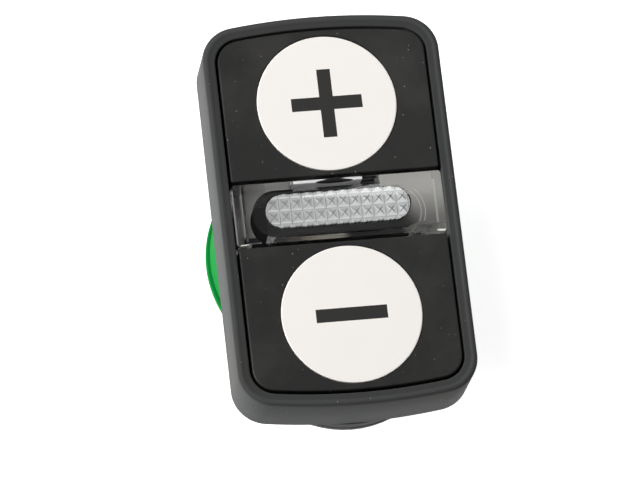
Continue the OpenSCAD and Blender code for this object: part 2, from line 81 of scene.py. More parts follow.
# Edges and bands that are lists hold (inset, drop under the face) in millimetres

frameForm = {
    "endRadius": 82.5 * mm,      # of the bowed ends
    "cornerRadius": 4.5 * mm,
    "cornerShrink": 0.8,         # how fast the corner radius falls with the inset
    "rim": 1.5 * mm,
    "pushGap": 0.4 * mm,
    "pushCorner": 0.35 * mm,     # beside the lens
    "leastPushCorner": 0.1 * mm,
    "cornerSteps": 14,
    "bowSteps": 36,
    "wallSteps": 36,
    "pushSteps": 16,
    "pushCornerSteps": 5,
}


def placeObject(name, data):
    thing = bpy.data.objects.new(name, data)
    bpy.context.scene.collection.objects.link(thing)
    return thing


# Camera: the photograph's viewing angle, solved from the two discs and the frame's outline

cameraPlace = {
    # Millimetres from the middle of the face
    "place": (-86.2, -176.1, 586.5),
    "target": (-2.88, -3.97, 0.0),
    "roll": -6.73,               # degrees
    "focal": 279.9,              # millimetres, as is the sensor
    "sensor": 36,
    "nearest": 10 * mm,
}


def makeCamera():
    face = Vector((0, 0, faceZ))
    place = Vector(cameraPlace["place"]) * mm + face
    target = Vector(cameraPlace["target"]) * mm + face
    back = (place - target).normalized()
    right = Vector((0, 1, 0)).cross(back).normalized()
    turn = Matrix((right, back.cross(right), back)).transposed()
    turn = turn @ Matrix.Rotation(math.radians(cameraPlace["roll"]), 3, "Z")
    data = bpy.data.cameras.new("photoCamera")
    data.lens = cameraPlace["focal"]
    data.sensor_width = cameraPlace["sensor"]
    data.clip_start = cameraPlace["nearest"]
    camera = placeObject("photoCamera", data)
    camera.matrix_world = Matrix.Translation(place) @ turn.to_4x4()
    bpy.context.scene.camera = camera


makeCamera()
print("camera placed")


# Materials

def newMaterial(name):
    material = bpy.data.materials.new(name)
    material.use_nodes = True
    return material, material.node_tree, material.node_tree.nodes["Principled BSDF"]


# Links a socket to another one, or gives it a number or a colour
def feed(socket, value):
    if isinstance(value, bpy.types.NodeSocket):
        socket.id_data.links.new(value, socket)
    elif socket.type == "RGBA":
        socket.default_value = (*value, 1)
    else:
        socket.default_value = value


# Feeds the sockets of a node and sets its settings
def setNode(node, values):
    for key, value in values.items():
        if key in node.inputs:
            feed(node.inputs[key], value)
        else:
            setattr(node, key, value)
    return node


def addNode(tree, kind, **values):
    return setNode(tree.nodes.new(kind), values)


def coordinates(tree, output="Object"):
    return addNode(tree, "ShaderNodeTexCoord").outputs[output]


def splitVector(tree, output="Object"):
    return addNode(tree, "ShaderNodeSeparateXYZ", Vector=coordinates(tree, output)).outputs


# Clouds between 0 and 1; the scale is per metre
def noise(tree, scale, detail=2.0, roughness=0.5):
    place = coordinates(tree)
    node = addNode(tree, "ShaderNodeTexNoise", Scale=scale, Detail=detail, Roughness=roughness, Vector=place)
    return node.outputs["Fac"]


# The node's sockets 6 and 7 and its output 2 are its colours
def mixColours(amount, first, second):
    mix = addNode(amount.id_data, "ShaderNodeMix", data_type="RGBA", Factor=amount)
    feed(mix.inputs[6], first)
    feed(mix.inputs[7], second)
    return mix.outputs[2]


def mixShaders(amount, first, second):
    mix = addNode(amount.id_data, "ShaderNodeMixShader", Fac=amount)
    feed(mix.inputs[1], first)
    feed(mix.inputs[2], second)
    return mix.outputs["Shader"]


def bumpNormal(height, strength, distance):
    bump = addNode(height.id_data, "ShaderNodeBump", Strength=strength, Distance=distance, Height=height)
    return bump.outputs["Normal"]


def scaled(values, factor):
    return tuple(value * factor for value in values)


# One step of arithmetic on one or two sockets
def reckon(operation, first, second=0.0):
    socket = first if isinstance(first, bpy.types.NodeSocket) else second
    node = addNode(socket.id_data, "ShaderNodeMath", operation=operation)
    feed(node.inputs[0], first)
    feed(node.inputs[1], second)
    return node.outputs[0]


def minus(first, second):
    return reckon("SUBTRACT", first, second)


def product(first, *others):
    for other in others:
        first = reckon("MULTIPLY", first, other)
    return first


# Goes smoothly from low to high while a value goes from start to end
def ramp(value, start, end, low=0.0, high=1.0):
    node = addNode(value.id_data, "ShaderNodeMapRange", interpolation_type="SMOOTHSTEP")
    limits = {"Value": value, "From Min": start, "From Max": end, "To Min": low, "To Max": high}
    return setNode(node, limits).outputs["Result"]


# Fine pale dust: specks of several sizes, thinly spread
dustForm = {
    "cells": 1300.0,             # per metre
    "size": (0.028, 0.078),      # radius in cells
    "glow": 0.75,
    "colour": (0.42, 0.41, 0.38),
}

# A thin pale film in soft clouds
filmForm = {
    "clouds": 85.0,              # per metre
    "spread": (0.42, 0.7),       # cloud values where it starts and is full
    "colour": (0.06, 0.057, 0.05),
}

# The rim's low inner band is a little darker than its outer one; heights in millimetres under the face
bandShade = {
    "full": 0.06,
    "none": 0.03,
    "lowest": 0.3,
    "upright": 0.8,              # least upward part of the normal
    "amount": 0.42,
    "brightness": 0.5,
}


def dustMask(tree, share):
    place = coordinates(tree)
    cells = addNode(tree, "ShaderNodeTexVoronoi", Scale=dustForm["cells"], Vector=place)
    draws = addNode(tree, "ShaderNodeSeparateColor", Color=cells.outputs["Color"]).outputs
    size = ramp(draws[1], 0.0, 1.0, *dustForm["size"])
    near = reckon("LESS_THAN", cells.outputs["Distance"], size)
    return product(near, reckon("LESS_THAN", draws[0], share), dustForm["glow"])


def bandMask(tree):
    form = bandShade
    height = splitVector(tree)["Z"]
    shade = ramp(height, faceZ - form["full"] * mm, faceZ - form["none"] * mm, form["amount"], 0.0)
    above = reckon("GREATER_THAN", height, faceZ - form["lowest"] * mm)
    upright = reckon("GREATER_THAN", splitVector(tree, "Normal")["Z"], form["upright"])
    return product(shade, above, upright)


# Moulded plastic: slight mottling, a spark-eroded grain and, where asked, a film, pale dust and a shade
def mouldedPlastic(
        name, colour, roughness, grain, grainScale=5200, mottle=0.08, gloss=0.5, dust=0.0, film=0.0,
        shade=None):
    material, tree, shader = newMaterial(name)
    cloud = noise(tree, 260, 3.0)
    base = mixColours(cloud, scaled(colour, 1 - mottle), scaled(colour, 1 + mottle))
    if film:
        cover = ramp(noise(tree, filmForm["clouds"], 4.0, 0.6), *filmForm["spread"], 0.0, film)
        base = mixColours(cover, base, filmForm["colour"])
    if dust:
        base = mixColours(dustMask(tree, dust), base, dustForm["colour"])
    if shade:
        base = mixColours(shade(tree), base, scaled(colour, bandShade["brightness"]))
    rough = addNode(tree, "ShaderNodeMapRange", Value=cloud)
    setNode(rough, {"To Min": roughness - 0.04, "To Max": roughness + 0.05})
    pits = noise(tree, grainScale, 2.0, 0.6)
    setNode(shader, {
        "Base Color": base,
        "Roughness": rough.outputs["Result"],
        "Normal": bumpNormal(pits, grain, 0.04 * mm),
        "Specular IOR Level": gloss,
    })
    return material


def plainRubber(name, colour, gloss):
    return mouldedPlastic(name, colour, 0.6, 0.3, grainScale=3200, gloss=gloss)


# Parts of the lens that look milky from above: the spark-eroded underside of its thick ends, the bar beside
# its pocket, the ledge over the upper recess, the slopes of its steps and a few dark or bright edges.
# Several rows are painted light: near-white frost on the upper bar, wall and ledge stands for light piped
# along the lens, a dark patch, the pocket's left end and the left step are painted shade, and the right
# step, the left edge and two glints are painted highlights.
# Each row: a colour, a box in millimetres, and the axis that its faces look along if only some count
lensFrostAndPaintedLight = {
    "leftEnd": ((0.4, 0.395, 0.38), (-14, -4, 4), (-5.4, 4, 6.1), "Z"),
    "rightEnd": ((0.36, 0.355, 0.34), (5.4, -4, 4), (14, 4, 6.1), "Z"),
    "leftFoot": ((0.6, 0.59, 0.57), (-14, -4, 4), (-11.2, 4, 4.4), "Z"),
    "rightFoot": ((0.5, 0.49, 0.47), (11.2, -4, 4), (14, 4, 4.4), "Z"),
    "upperLeft": ((0.5, 0.5, 0.48), (-8.5, 3, 4), (-5.4, 4, 6.1), "Z"),
    # Painted light: near-white frost on the upper wall, bar and ledge stands for light piped along the lens
    "upperWallPipedLight": ((0.95, 0.95, 0.95), (-5.3, 3.6, 5), (3.4, 3.8, 10.9), "Y"),
    "upperBarPipedLight": ((0.95, 0.95, 0.95), (-5.3, 3, 4), (3.4, 4, 6.1), "Z"),
    "upperLedgePipedLight": ((0.95, 0.95, 0.95), (-5.3, 3, 10.7), (3.4, 4, 10.9), "Z"),
    # Painted shade: a dark patch on the underside
    "leftShade": ((0.05, 0.05, 0.055), (-11.6, -2.3, 4), (-8.4, -1.7, 6.1), "Z"),
    # Painted highlight along the left edge
    "leftEdgeHighlight": ((0.22, 0.22, 0.22), (-14, -3.9, 11.7), (-13.03, 3.2, 12.1), ""),
    # Painted shade: a dark sheet over the pocket's left end
    "leftPocketShade": ((0.02, 0.02, 0.02), (-10.9, -2.9, 6.2), (-9.2, 0.9, 11.25), ""),
    # Painted glint at the lower left edge
    "lowerGlint": ((0.6, 0.6, 0.55), (-12.8, -4, 11.6), (-11.7, -3.8, 12.1), ""),
    # Painted shade on the left step's slope
    "leftStepShade": ((0.11, 0.11, 0.108), (-12.3, -2.9, 11.8), (-11.9, 2.7, 11.99), ""),
    # Painted glint at the lower right edge
    "rightGlint": ((0.75, 0.75, 0.72), (11.9, -4, 11.5), (13, -3.72, 12.1), ""),
    # Painted highlight on the right step's slope
    "rightStepHighlight": ((0.85, 0.84, 0.81), (11.9, -2.75, 11.8), (12.3, 2.85, 11.99), ""),
}

# Softer shades on the lens, in millimetres, each inside its own box; the oval, the haze and the arcs are
# painted shade, a painted veil of reflected light and painted highlights
lensShade = {
    # Lower bar, with its colours at places across the width
    "bar": {
        "box": ((-8.5, -4, 4), (14, -3, 6.1), "Z"),
        "stops": [
            (-8.5, (0.07, 0.07, 0.072)), (-6.6, (0.1, 0.1, 0.1)), (-4.8, (0.24, 0.22, 0.19)),
            (-3.2, (0.62, 0.56, 0.48)), (-1.6, (0.72, 0.67, 0.6)), (0.6, (0.66, 0.63, 0.58)),
            (1.6, (0.07, 0.07, 0.075)), (8.4, (0.075, 0.075, 0.078)), (9.4, (0.17, 0.168, 0.16)),
            (14, (0.2, 0.197, 0.19)),
        ],
    },
    # Painted shade: a dark oval in the middle of the upper bar
    "oval": {
        "box": ((-3, 3, 8), (3, 4, 10.9), ""),
        "middle": (-0.1, 3.43),
        "half": (2.4, 0.3),
        "tilt": 0.207,           # how far it leans per millimetre of depth
        "edge": (0.85, 1.1),     # squared share of its half size where it fades
        "colour": (0.02, 0.02, 0.02),
    },
    # Painted veil of reflected light round the prisms' right end, on the top face and lighter towards the
    # plus push; the strip under its box stays clear
    "haze": {
        "box": ((5.4, -3.0, 11.8), (14, 4, 12.1), "Z"),
        "top": (0.33, 0.325, 0.31),
        "bottom": (0.125, 0.123, 0.118),
        "fall": (-3.0, 2.2),
        "rise": (6.4, 9.8),
        "lean": 0.5,             # how much earlier it starts towards the plus push
        "band": (1.9, 2.6),      # beyond this side of the prisms it is full
        "amount": 0.85,
        "fieldEnd": 6.95,        # middle and radius of the prisms' round end
        "fieldMiddle": 0.2,
        "fieldRadius": 2.14,
    },
    # Two painted highlight arcs at the pocket's round end
    "arcs": {
        "box": ((9, -2.5, 11.95), (12, 1.7, 12.1), "Z"),
        "middle": (6.9, -1.0),
        "radii": (3.3, 3.83),
        "half": 0.05,
        "amount": 0.5,
        "colour": (0.5, 0.5, 0.48),
    },
}


# 1 on the faces inside a box given in millimetres, and 0 elsewhere
def boxMask(tree, low, high, facing):
    place = splitVector(tree)
    parts = []
    for axis, least, most in zip("XYZ", low, high):
        parts.append(reckon("GREATER_THAN", place[axis], least * mm))
        parts.append(reckon("LESS_THAN", place[axis], most * mm))
    if facing:
        level = reckon("ABSOLUTE", splitVector(tree, "Normal")[facing])
        parts.append(reckon("GREATER_THAN", level, 0.9))
    return product(*parts)


def barColour(tree):
    low, high, facing = lensShade["bar"]["box"]
    stops = lensShade["bar"]["stops"]
    across = splitVector(tree)["X"]
    share = addNode(tree, "ShaderNodeMapRange")
    setNode(share, {"Value": across, "From Min": low[0] * mm, "From Max": high[0] * mm})
    blend = addNode(tree, "ShaderNodeValToRGB", Fac=share.outputs["Result"])
    marks = blend.color_ramp.elements
    while len(marks) < len(stops):
        marks.new(1.0)
    for mark, (x, colour) in zip(marks, stops):
        mark.position = (x - low[0]) / (high[0] - low[0])
        mark.color = (*colour, 1)
    return blend.outputs["Color"]


# Where the painted dark oval lies
def paintedShadeOvalMask(tree):
    form = lensShade["oval"]
    place = splitVector(tree)
    depth = minus(faceZ, place["Z"])
    height = minus(place["Y"], product(depth, form["tilt"]))
    squares = []
    for value, middle, half in zip((place["X"], height), form["middle"], form["half"]):
        share = reckon("DIVIDE", minus(value, middle * mm), half * mm)
        squares.append(product(share, share))
    inside = ramp(reckon("ADD", *squares), *form["edge"], 1.0, 0.0)
    return product(inside, boxMask(tree, *form["box"]))


# Length of the slant over two sides
def slantLength(across, up):
    return reckon("SQRT", reckon("ADD", product(across, across), product(up, up)))


# Where the painted veil of reflected light lies
def paintedVeilMask(tree):
    form = lensShade["haze"]
    place = splitVector(tree)
    along = reckon("ADD", place["X"], product(place["Y"], form["lean"]))
    rise = ramp(along, *scaled(form["rise"], mm))
    band = ramp(place["Y"], *scaled(form["band"], mm))
    across = reckon("MAXIMUM", minus(place["X"], form["fieldEnd"] * mm), 0.0)
    up = minus(place["Y"], form["fieldMiddle"] * mm)
    outside = reckon("GREATER_THAN", slantLength(across, up), form["fieldRadius"] * mm)
    return product(reckon("MAXIMUM", rise, band), form["amount"], outside, boxMask(tree, *form["box"]))


# The painted veil's colour, lighter towards the plus push
def paintedVeilColour(tree):
    form = lensShade["haze"]
    level = ramp(splitVector(tree)["Y"], *scaled(form["fall"], mm))
    return mixColours(level, form["bottom"], form["top"])


# Where the two painted highlight arcs lie
def paintedHighlightArcMask(tree):
    form = lensShade["arcs"]
    place = splitVector(tree)
    across, up = [minus(place["XY"[k]], form["middle"][k] * mm) for k in (0, 1)]
    out = slantLength(across, up)
    near = []
    for radius in form["radii"]:
        off = reckon("ABSOLUTE", minus(out, radius * mm))
        near.append(reckon("LESS_THAN", off, form["half"] * mm))
    return product(reckon("MAXIMUM", *near), boxMask(tree, *form["box"]), form["amount"])


# Clear moulded plastic: refracts, and lets the light for what lies under it straight through
def clearPlastic(name, tint):
    material, tree, shader = newMaterial(name)
    setNode(shader, {
        "Base Color": tint,
        "Roughness": 0.01,
        "IOR": 1.49,
        "Transmission Weight": 1.0,
        "Coat Weight": 0.1,
        "Coat Roughness": 0.12,
        "Normal": bumpNormal(noise(tree, 300), 0.12, 0.03 * mm),
    })
    # The layers are diffuse patches on the clear plastic: real frost, and painted light and shade
    layers = [(boxMask(tree, low, high, facing), colour) for colour, low, high, facing in lensFrostAndPaintedLight.values()]
    layers += [
        (boxMask(tree, *lensShade["bar"]["box"]), barColour(tree)),
        (paintedShadeOvalMask(tree), lensShade["oval"]["colour"]),
        (paintedVeilMask(tree), paintedVeilColour(tree)),
        (paintedHighlightArcMask(tree), lensShade["arcs"]["colour"]),
    ]
    surface = shader.outputs["BSDF"]
    for mask, colour in layers:
        frosted = addNode(tree, "ShaderNodeBsdfDiffuse", Color=colour)
        surface = mixShaders(mask, surface, frosted.outputs["BSDF"])
    through = addNode(tree, "ShaderNodeBsdfTransparent", Color=tint)
    shadowRay = addNode(tree, "ShaderNodeLightPath").outputs["Is Shadow Ray"]
    surface = mixShaders(shadowRay, surface, through.outputs["BSDF"])
    feed(tree.nodes["Material Output"].inputs["Surface"], surface)
    return material


# Drawn or stamped steel
def plainSteel(name, colour, roughness):
    material, tree, shader = newMaterial(name)
    cloud = noise(tree, 900, 3.0)
    setNode(shader, {
        "Base Color": mixColours(cloud, scaled(colour, 0.85), colour),
        "Metallic": 1.0,
        "Roughness": roughness,
        "Normal": bumpNormal(cloud, 0.15, 0.03 * mm),
    })
    return material


# The prisms: clear pyramids that throw the light back like frosted silver, drawn opaque with painted light.
# Each has a painted highlight on its rim, which fades from left to right, painted shade in its valleys and
# on the faces towards the plus push and the left, and fine painted dark ridges, which grow stronger
prismForm = {
    "pitch": {"X": 1.48 * mm, "Y": 1.6 * mm},
    "shift": {"X": 0.0, "Y": 0.4 * mm},
    "fieldEnd": 9 * mm,
    "sides": (0.79, 1.16),       # brightness on the left and on the right
    "mottle": 0.1,
    "mottleColour": (0.1, 0.1, 0.1),
    "rim": (0.62, 0.8),          # share of the half pitch where the rim starts and is full
    "rimPaintedHighlight": (0.85, 0.4),      # painted highlight, on the left and on the right
    "rimHighlightColour": (0.86, 0.86, 0.87),
    # Painted shade in the valleys
    "valley": (0.92, 1.0),
    "valleyShade": 0.6,
    "valleyColour": (0.12, 0.12, 0.13),
    "facing": 0.3,               # least part of the normal that counts as facing a side
    "upperShade": 0.52,          # painted shade on the faces towards the plus push, which in the real part let most light through
    "leftShade": 0.44,           # painted shade on the faces towards the left, which evens out the lamp from the left
    "shadeColour": (0.1, 0.1, 0.11),
    # Painted shade along the ridges, stronger towards the right
    "ridge": 0.2,
    "ridgeShade": (0.5, 1.0),
    "ridgeEnd": (0.3, 0.9),      # share of the half pitch where a ridge fades and ends
    "ridgeColour": (0.02, 0.02, 0.03),
}


def prismPlastic(name, colour):
    material, tree, shader = newMaterial(name)
    form = prismForm
    place = splitVector(tree)
    normal = splitVector(tree, "Normal")
    out = {}                     # 0 on a pyramid's middle and 1 in the valleys
    for axis in "XY":
        moved = minus(place[axis], form["shift"][axis])
        steps = reckon("DIVIDE", moved, form["pitch"][axis])
        middle = minus(reckon("FRACT", steps), 0.5)
        out[axis] = product(reckon("ABSOLUTE", middle), 2.0)
    most = reckon("MAXIMUM", out["X"], out["Y"])
    between = reckon("ABSOLUTE", minus(out["X"], out["Y"]))

    def acrossField(left=0.0, right=1.0):
        return ramp(place["X"], -form["fieldEnd"], form["fieldEnd"], left, right)

    mottle = product(noise(tree, 900), form["mottle"])
    # Painted highlight on the rims, and painted shade in the valleys, on the faces towards the plus push and
    # the left, and along the ridges
    rim = product(ramp(most, *form["rim"]), acrossField(*form["rimPaintedHighlight"]))
    valley = product(ramp(most, *form["valley"]), form["valleyShade"])
    upper = product(reckon("GREATER_THAN", normal["Y"], form["facing"]), form["upperShade"])
    left = product(reckon("LESS_THAN", normal["X"], -form["facing"]), form["leftShade"])
    ridge = minus(1.0, ramp(between, 0.0, form["ridge"]))
    inner = minus(1.0, ramp(most, *form["ridgeEnd"]))
    ridge = product(ridge, acrossField(*form["ridgeShade"]), inner)
    base = mixColours(acrossField(), *[scaled(colour, side) for side in form["sides"]])
    for mask, layer in (
        (mottle, "mottleColour"), (rim, "rimHighlightColour"), (valley, "valleyColour"), (upper, "shadeColour"),
        (left, "shadeColour"), (ridge, "ridgeColour"),
    ):
        base = mixColours(mask, base, form[layer])
    setNode(shader, {"Base Color": base, "Metallic": 0.1, "Roughness": 0.45})
    return material


finishes = {
    "bezel": mouldedPlastic(
        "bezelGrey", (0.0565, 0.058, 0.058), 0.5, grain=0.35, gloss=0.015, dust=0.5, film=0.3,
        shade=bandMask),
    "body": mouldedPlastic("baseCharcoal", (0.036, 0.0365, 0.0365), 0.55, grain=0.25, gloss=0.1),
    "push": mouldedPlastic(
        "pushBlack", (0.0062, 0.0062, 0.0057), 0.45, grain=0.3, gloss=0.35, dust=0.6, film=0.22),
    "disc": mouldedPlastic("discWhite", (0.84, 0.812, 0.772), 0.38, grain=0.08, mottle=0.012),
    "mark": mouldedPlastic("markBlack", (0.0085, 0.008, 0.007), 0.5, grain=0.2, gloss=0.45),
    "nut": mouldedPlastic("nutGreen", (0.0036, 0.172, 0.028), 0.6, grain=0.1, mottle=0.04, gloss=0.03),
    "pusher": mouldedPlastic("pusherGrey", (0.06, 0.06, 0.064), 0.42, grain=0.15),
    "rubber": plainRubber("sealRubber", (0.008, 0.008, 0.008), 0.3),
    "retainer": plainSteel("retainerSteel", (0.62, 0.61, 0.59), 0.35),
    "spring": plainSteel("springWire", (0.66, 0.65, 0.63), 0.28),
    "lens": clearPlastic("lensClear", (0.96, 0.965, 0.96)),
    "light_guide": prismPlastic("prismSilver", (0.8, 0.8, 0.81)),
}
gasketRubber = plainRubber("gasketRubber", (0.11, 0.11, 0.11), 0.15)
print("materials ready")


# Mesh helpers

# Opens a mesh, changes it and writes it back
def editMesh(mesh, change):
    form = bmesh.new()
    form.from_mesh(mesh)
    change(form)
    form.to_mesh(mesh)
    form.free()


def meshFrom(name, corners, faces):
    mesh = bpy.data.meshes.new(name)
    mesh.from_pydata(corners, [], faces)
    editMesh(mesh, lambda form: bmesh.ops.recalc_face_normals(form, faces=form.faces))
    return placeObject(name, mesh)


# A closed surface through rings with the same number of points, either capped or joined into a loop
def loftMesh(name, rings, joinEnds=False):
    count = len(rings[0])
    corners = [point for ring in rings for point in ring]
    faces = []
    for i in range(len(rings) if joinEnds else len(rings) - 1):
        low, high = i * count, (i + 1) % len(rings) * count
        for k in range(count):
            after = (k + 1) % count
            faces.append((low + k, low + after, high + after, high + k))
    if not joinEnds:
        faces.append(tuple(reversed(range(count))))
        faces.append(tuple(range(len(corners) - count, len(corners))))
    return meshFrom(name, corners, faces)


def lifted(points, z):
    return [(x, y, z) for x, y in points]


def arcPoints(centre, radius, start, end, steps):
    turns = [math.radians(start + (end - start) * i / steps) for i in range(steps + 1)]
    return [(centre[0] + radius * math.cos(turn), centre[1] + radius * math.sin(turn)) for turn in turns]


def circlePoints(radius, steps, centre=(0, 0)):
    return arcPoints(centre, radius, 0, 360, steps)[:-1]


# Body turned from a profile of (radius, height) pairs about an upright axis
def turnedMesh(name, profile, centreY, steps):
    rings = []
    for i in range(steps):
        angle = 2 * math.pi * i / steps
        rings.append([(r * math.cos(angle), centreY + r * math.sin(angle), z) for r, z in profile])
    return loftMesh(name, rings, joinEnds=True)


def boxMesh(name, low, high):
    xs, ys, zs = zip(low, high)
    outline = [(xs[0], ys[0]), (xs[1], ys[0]), (xs[1], ys[1]), (xs[0], ys[1])]
    return loftMesh(name, [lifted(outline, z) for z in zs])


def postMesh(name, radius, centre, low, high, steps=48):
    outline = circlePoints(radius, steps, centre)
    return loftMesh(name, [lifted(outline, low), lifted(outline, high)])


# Applies the modifiers of a piece to its mesh
def settle(piece):
    bpy.context.view_layer.update()
    shape = piece.evaluated_get(bpy.context.evaluated_depsgraph_get())
    mesh = bpy.data.meshes.new_from_object(shape)
    piece.modifiers.clear()
    piece.data = mesh


def cutAway(piece, tools):
    for tool in tools:
        cut = piece.modifiers.new("cut", "BOOLEAN")
        cut.operation = "DIFFERENCE"
        cut.solver = "EXACT"
        cut.object = tool
    settle(piece)
    for tool in tools:
        bpy.data.objects.remove(tool)


def softenEdges(piece, width):
    bevel = piece.modifiers.new("bevel", "BEVEL")
    bevel.width = width
    bevel.segments = 2
    bevel.limit_method = "ANGLE"
    bevel.angle_limit = math.radians(35)
    settle(piece)


# Smooth faces with sharp edges where they meet at more than an angle in degrees
def shadeSmooth(piece, angle):
    def mark(form):
        for face in form.faces:
            face.smooth = True
        for edge in form.edges:
            edge.smooth = len(edge.link_faces) == 2 and edge.calc_face_angle(0) < math.radians(angle)

    editMesh(piece.data, mark)


def finishPiece(piece, body, slotName, node, sharp):
    shadeSmooth(piece, sharp)
    piece.data.materials.clear()
    piece.data.materials.append(finishes[slotName])
    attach(piece, body)
    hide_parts(node)


# Outlines

# Two round corners with the bow between them, and the height where they start
def bowedEnd(x, y, radius, corner):
    middle = y - radius
    cornerX = x - corner
    cornerY = middle + math.sqrt((radius - corner) ** 2 - cornerX ** 2)
    turn = math.degrees(math.atan2(cornerY - middle, cornerX))
    steps = frameForm["cornerSteps"]
    points = arcPoints((cornerX, cornerY), corner, 0, turn, steps)
    points += arcPoints((0, middle), radius, turn, 180 - turn, frameForm["bowSteps"])[1:]
    points += arcPoints((-cornerX, cornerY), corner, 180 - turn, 180, steps)[1:]
    return points, cornerY


# The frame's outline drawn smaller by an inset, anticlockwise from the right side
def frameOutline(inset):
    form = frameForm
    x = halfWidth - inset
    corner = form["cornerRadius"] - form["cornerShrink"] * inset
    half, top = bowedEnd(x, halfLength - inset, form["endRadius"] - inset, corner)
    steps = form["wallSteps"]
    half += [(-x, top - 2 * top * i / steps) for i in range(1, steps)]
    return half + [(-px, -py) for px, py in half]


# Outline of the upper push, drawn smaller by an inset
def pushOutline(inset):
    form = frameForm
    shrink = form["rim"] + form["pushGap"] + inset
    x = halfWidth - shrink
    corner = form["cornerRadius"] - form["cornerShrink"] * form["rim"] - form["pushGap"] - inset
    end, top = bowedEnd(x, halfLength - shrink, form["endRadius"] - shrink, corner)
    low = capLow.y + inset
    small = max(form["pushCorner"] - inset, form["leastPushCorner"])
    steps = form["pushSteps"]
    right = arcPoints((x - small, low + small), small, -90, 0, form["pushCornerSteps"])
    right += [(x, low + small + (top - low - small) * i / steps) for i in range(1, steps)]
    left = [(-px, py) for px, py in reversed(right)]
    floor = [(-x + small + 2 * (x - small) * i / steps, low) for i in range(1, steps)]
    return right + end + left + floor


# Steps of round-ended outlines
stadiumSteps = {
    "side": 12,                  # along a straight side
    "plateEnd": 32,              # round an end of the plates
    "pocketEnd": 40,             # and of the lens's pocket
    "edge": 4,                   # over a round edge
}


# Round-ended outline along Y
def stadiumPoints(length, width, endSteps):
    straight = (length - width) / 2
    side = width / 2
    steps = stadiumSteps["side"]
    half = arcPoints((0, straight), side, 0, 180, endSteps)
    half += [(-side, straight - 2 * straight * i / steps) for i in range(1, steps)]
    return half + [(-px, -py) for px, py in half]


# Where a ray from the middle towards (x, y) meets a round-ended outline along Y
def stadiumAlong(x, y, length, width):
    straight = (length - width) / 2
    radius = width / 2
    size = math.hypot(x, y)
    ux, uy = x / size, y / size
    if abs(ux) > 1e-9 and abs(uy / ux * radius) <= straight:
        reach = radius / abs(ux)
    else:
        along = abs(uy) * straight
        reach = along + math.sqrt(along ** 2 - straight ** 2 + radius ** 2)
    return (ux * reach, uy * reach)


# Round-ended rings from a list of (inset, height) pairs
def stadiumRings(halfX, halfY, profile):
    rings = []
    for inset, z in profile:
        length, width = 2 * (halfY - inset), 2 * (halfX - inset)
        rings.append(lifted(stadiumPoints(length, width, stadiumSteps["plateEnd"]), z))
    return rings


# Round-ended plate with round edges
def plateMesh(name, halfX, halfY, low, high, edge):
    steps = stadiumSteps["edge"]
    angles = [math.radians(90 * k / steps) for k in range(steps + 1)]
    curve = [(edge * (1 - math.sin(angle)), edge * (1 - math.cos(angle))) for angle in angles]
    profile = [(inset, low + rise) for inset, rise in curve]
    profile += [(inset, high - drop) for inset, drop in reversed(curve)]
    return loftMesh(name, stadiumRings(halfX, halfY, profile))


# Bezel: straight walls, soft front edge, and a rim with a low inner band and a raised outer one

bezelForm = {
    "band": [
        (1.58, 0.25), (1.56, 0.16), (1.51, 0.11), (1.44, 0.09), (1.38, 0.086), (1.04, 0.078), (0.96, 0.074),
        (0.86, 0.062), (0.74, 0.036), (0.62, 0.012), (0.54, 0.004), (0.46, 0.012),
    ],
    "outerEdge": [
        (0.36, 0.028), (0.27, 0.05), (0.19, 0.085), (0.12, 0.13), (0.06, 0.19), (0.02, 0.27), (0, 0.38),
    ],
    "backEdge": [(0, 0.3), (0.08, 0.1), (0.26, 0)],      # rises over the back
    "seat": 1.9 * mm,            # how wide the floor lies on the base plate
}


def makeBezel():
    form = bezelForm
    floorTop = lensLow.z
    back = bezelLow.z
    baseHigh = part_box("body")[1]
    profile = [(form["band"][0][0] * mm, floorTop)]
    profile += [(inset * mm, faceZ - drop * mm) for inset, drop in form["band"] + form["outerEdge"]]
    profile += [(inset * mm, back + rise * mm) for inset, rise in form["backEdge"]]
    rings = [lifted(frameOutline(inset), z) for inset, z in profile]
    length, width = [2 * (half - form["seat"]) for half in (baseHigh.y, baseHigh.x)]
    hole = [stadiumAlong(x, y, length, width) for x, y, z in rings[-1]]
    rings += [lifted(hole, back), lifted(hole, floorTop)]
    bezel = loftMesh("bezelFrame", rings, joinEnds=True)
    finishPiece(bezel, "head", "bezel", "bezel", sharp=28)


makeBezel()
print("bezel done")


# Pushes: flat black tops with a fine edge, and a round pocket for the disc

pushForm = {
    "edge": [(0, 0.22), (0.01, 0.13), (0.04, 0.06), (0.09, 0.02), (0.16, 0), (0.26, 0)],
    "discGap": 0.1 * mm,
    "pocketDepth": 1.2 * mm,
    "pocketEdge": 0.06 * mm,
    "skirt": 1.2 * mm,
    "top": 2.6 * mm,
    "notch": 6.2 * mm,           # width of the notch in the skirt beside the lens
    "notchDepth": 1.3 * mm,
}


def makePush(name, side, body, node):
    form = pushForm
    under = faceZ - form["top"]
    soft = form["pocketEdge"]
    skirt = pushOutline(form["skirt"])
    rings = [lifted(skirt, under), lifted(skirt, capLow.z), lifted(pushOutline(0), capLow.z)]
    rings += [lifted(pushOutline(inset * mm), faceZ - drop * mm) for inset, drop in form["edge"]]
    around = [Vector((x, y - discY)).normalized() for x, y, z in rings[-1]]
    for widening, z in (
        (3 * soft, faceZ), (soft, faceZ), (0, faceZ - soft), (0, faceZ - form["pocketDepth"]),
    ):
        radius = discRadius + form["discGap"] + widening
        rings.append([(ray.x * radius, discY + ray.y * radius, z) for ray in around])
    push = loftMesh(name, rings)
    half = form["notch"] / 2
    notchTop = (half, capLow.y + form["notchDepth"], under)
    cutAway(push, [boxMesh("notch", (-half, capLow.y - mm, capLow.z - mm), notchTop)])
    if side < 0:
        push.data.transform(Matrix.Scale(-1, 4, (0, 1, 0)))
        push.data.flip_normals()
    finishPiece(push, body, "push", node, sharp=26)


makePush("upperPush", 1, "upper_push", "upper_push_cap")
makePush("lowerPush", -1, "lower_push", "lower_push_cap")
print("pushes done")


# Legend discs with their marks let in flush

